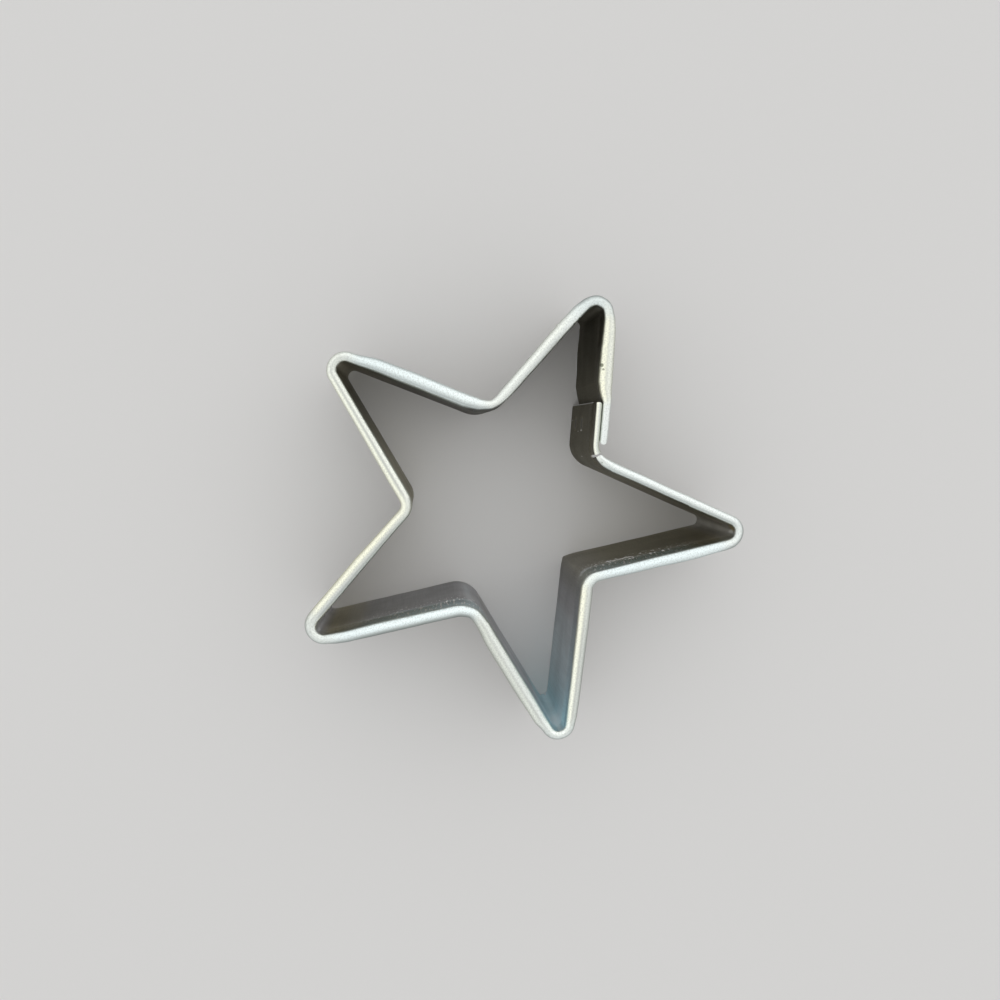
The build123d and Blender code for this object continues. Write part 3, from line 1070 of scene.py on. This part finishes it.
# Marks on the rim, as (place, climb, radius, how much taller than wide, softness, share, colour): the dark
# pits are real, the yellow one is a painted reflection, and the small white one on the shoulder is a
# painted glint
rimSpots = (
    (263.8, crestClimb - 0.75, 0.3, 1.0, 0.3, 0.85, "pit"),
    (264.5, crestClimb - 0.45, 0.16, 1.0, 0.3, 0.7, "pit"),
    (248.2, archFoot + 0.55, 0.2, 1.0, 0.3, 0.8, "pit"),
    (249.5, archFoot + 0.5, 0.24, 1.0, 0.3, 0.8, "pit"),
    (11.2, crestClimb - 0.5, 0.2, 1.0, 0.4, 0.5, "pit"),
    (97.5, archFoot + 0.2, 0.2, 1.0, 0.2, 1.0, "scuffGlint"),
    (37.4, 20.5, 0.5, 1.5, 0.6, 0.8, "goldGlint"),
)


def brightColour(tree, grain, along, climb):
    tone, rimShade = readTable(tree, "tone"), readTable(tree, "rimShade")
    # painted warm and bluish reflection tints, by place and by half of the rim
    outerHalf = ramp(tree, climb, *brightTin["outerHalf"])
    cream = times(tree, leftover(tree, outerHalf), tone["X"])
    cream = plus(tree, cream, times(tree, outerHalf, tone["Y"]))
    colour = blend(tree, cream, brightTin["white"], brightTin["cream"])
    colour = blend(tree, tone["Z"], colour, brightTin["blue"])
    # a painted highlight by the inner edge, and painted shade on both flanks
    edgeLight = times(tree, band(tree, climb, *brightTin["edgeLight"]), brightTin["edgeShare"])
    innerFlank = minus(tree, leftover(tree, edgeLight), ramp(tree, climb, *brightTin["innerFlank"]))
    flankShade = times(tree, larger(tree, innerFlank, 0.0), rimShade["X"])
    flankShade = plus(tree, flankShade, times(tree, ramp(tree, climb, *brightTin["outerFlank"]), rimShade["Y"]))
    colour = blend(tree, times(tree, flankShade, brightTin["flankShare"]), colour, brightTin["flankShade"])
    # painted shade on the tab rim's outer half, beside the lap
    onTab = leftover(tree, ramp(tree, along, *brightTin["tabTo"]))
    tabOuter = times(tree, ramp(tree, climb, *brightTin["tabOuter"]), onTab, brightTin["tabShare"])
    colour = blend(tree, tabOuter, colour, brightTin["tabShade"])
    # a painted dark reflection along the crest
    crestLine = times(tree, band(tree, climb, *brightTin["crestLine"]), rimShade["Z"])
    colour = blend(tree, times(tree, crestLine, brightTin["crestShare"]), colour, brightTin["grey"])
    return blend(tree, times(tree, grain["Frost"], brightTin["frost"]), colour, brightTin["grey"])


def makeRimMaterial():
    material, tree, shader = newMaterial("brightTin")
    flat, along, climb = readPlace(tree)
    grain = useGroup(tree, sheetGrain, {"Flat": flat, "Frost Size": brightTin["frostSize"]})
    face = sheetFace(tree, flat, grain)
    # the fold's inner leg has the wall's painted light and shade, with painted glints on scuffs
    inside = blend(tree, face["Sparks"], face["Colour"], brightTin["scuffGlint"])
    onTop = brightColour(tree, grain, along, climb)
    colour = blend(tree, ramp(tree, climb, *brightTin["shoulder"]), inside, onTop)
    colour = addSpots(tree, flat, colour, rimSpots, brightTin)
    shader.inputs["Specular Tint"].default_value = brightTin["edgeGloss"]
    rough = between(tree, grain["Frost"], *brightTin["roughness"])
    relief = plus(tree, grain["Frost"], times(tree, grain["Rolling"], brightTin["bumpRolling"]))
    setSurface(tree, shader, colour, rough, relief, brightTin["bumpDepth"])
    return material


weldMetal = {
    "light": (0.3, 0.29, 0.28, 1),
    "dark": (0.16, 0.15, 0.16, 1),
    "frostSize": 0.1,
    "roughness": 0.45,
}


def makeWeldMaterial():
    material, tree, shader = newMaterial("weldMetal")
    inputs = {"Flat": attribute(tree, "flat"), "Frost Size": weldMetal["frostSize"]}
    grain = useGroup(tree, sheetGrain, inputs)
    colour = blend(tree, grain["Frost"], weldMetal["light"], weldMetal["dark"])
    tree.links.new(colour, shader.inputs["Base Color"])
    shader.inputs["Roughness"].default_value = weldMetal["roughness"]
    return material


buildWall(makeWallMaterial())
rimMaterial = makeRimMaterial()
buildRim("rolledRim", "rolled_rim", slitPlace + seam["slit"] / 2, stripLength, rimMaterial)
buildRim("tabRim", "tab_rim", 0, slitPlace - seam["slit"] / 2, rimMaterial)
buildWelds(makeWeldMaterial())

# The camera stands where the photograph's did, in mm
camera = {
    "place": (-19.065, 3.914, 173.26),
    "forward": (0.10436, -0.03749, -0.99383),
    "right": (0.91663, 0.39133, 0.08149),
    "lens": 32.4,
    "sensor": 36,
    "nearest": 5.0,
}


def setCamera():
    back = -Vector(camera["forward"]).normalized()
    right = Vector(camera["right"]).normalized()
    up = back.cross(right).normalized()
    right = up.cross(back)
    made = bpy.data.objects.new("camera", bpy.data.cameras.new("camera"))
    made.data.lens = camera["lens"]
    made.data.sensor_width = camera["sensor"]
    made.data.clip_start = camera["nearest"] * mm
    turned = Matrix((right, up, back)).transposed().to_4x4()
    made.matrix_world = Matrix.Translation(Vector(camera["place"]) * mm) @ turned
    bpy.context.scene.collection.objects.link(made)
    bpy.context.scene.camera = made


# Floor and light, in metres
studio = {
    "floorSize": 5.0,
    "floorDrop": 0.00002,
    "floorColour": (0.74, 0.735, 0.725, 1),
    "floorRoughness": 0.8,
    "floorGloss": 0.2,
    "surround": (1, 1, 1, 1),
    "ambient": 0.78,  # the surround's strength as light; it is seen and mirrored at 1
    "lamps": (  # name, place, size, watts, colour
        ("windowLamp", (0.1, 1.6, 1.5), 4.0, 11.0, (1.0, 0.995, 0.985)),
        ("fillLamp", (-1.5, -0.6, 1.6), 2.6, 2.5, (0.97, 0.985, 1.0)),
    ),
}


def setStudio():
    bm = bmesh.new()
    bmesh.ops.create_grid(bm, x_segments=1, y_segments=1, size=studio["floorSize"] / 2)
    bmesh.ops.translate(bm, verts=bm.verts, vec=(0, 0, -studio["floorDrop"]))
    mesh = bpy.data.meshes.new("floor")
    bm.to_mesh(mesh)
    bm.free()
    floor = bpy.data.objects.new("floor", mesh)
    bpy.context.scene.collection.objects.link(floor)
    material = bpy.data.materials.new("paleFloor")
    material.use_nodes = True
    shader = material.node_tree.nodes["Principled BSDF"]
    shader.inputs["Base Color"].default_value = studio["floorColour"]
    shader.inputs["Roughness"].default_value = studio["floorRoughness"]
    shader.inputs["Specular IOR Level"].default_value = studio["floorGloss"]
    mesh.materials.append(material)
    for name, place, size, watts, colour in studio["lamps"]:
        lamp = bpy.data.objects.new(name, bpy.data.lights.new(name, "AREA"))
        lamp.data.size = size
        lamp.data.energy = watts
        lamp.data.color = colour
        lamp.location = place
        lamp.rotation_mode = "QUATERNION"
        lamp.rotation_quaternion = Vector(place).to_track_quat("Z", "Y")
        bpy.context.scene.collection.objects.link(lamp)
    world = bpy.data.worlds.new("studio")
    bpy.context.scene.world = world
    world.use_nodes = True
    tree = world.node_tree
    rays = addNode(tree, "LightPath").outputs
    strength = studio["ambient"]
    for kind in ("Is Camera Ray", "Is Glossy Ray", "Is Transmission Ray"):
        strength = larger(tree, rays[kind], strength)
    background = tree.nodes["Background"].inputs
    tree.links.new(strength, background["Strength"])
    background["Color"].default_value = studio["surround"]
    bpy.context.scene.view_settings.view_transform = "Standard"


setCamera()
setStudio()
print("camera and studio set")
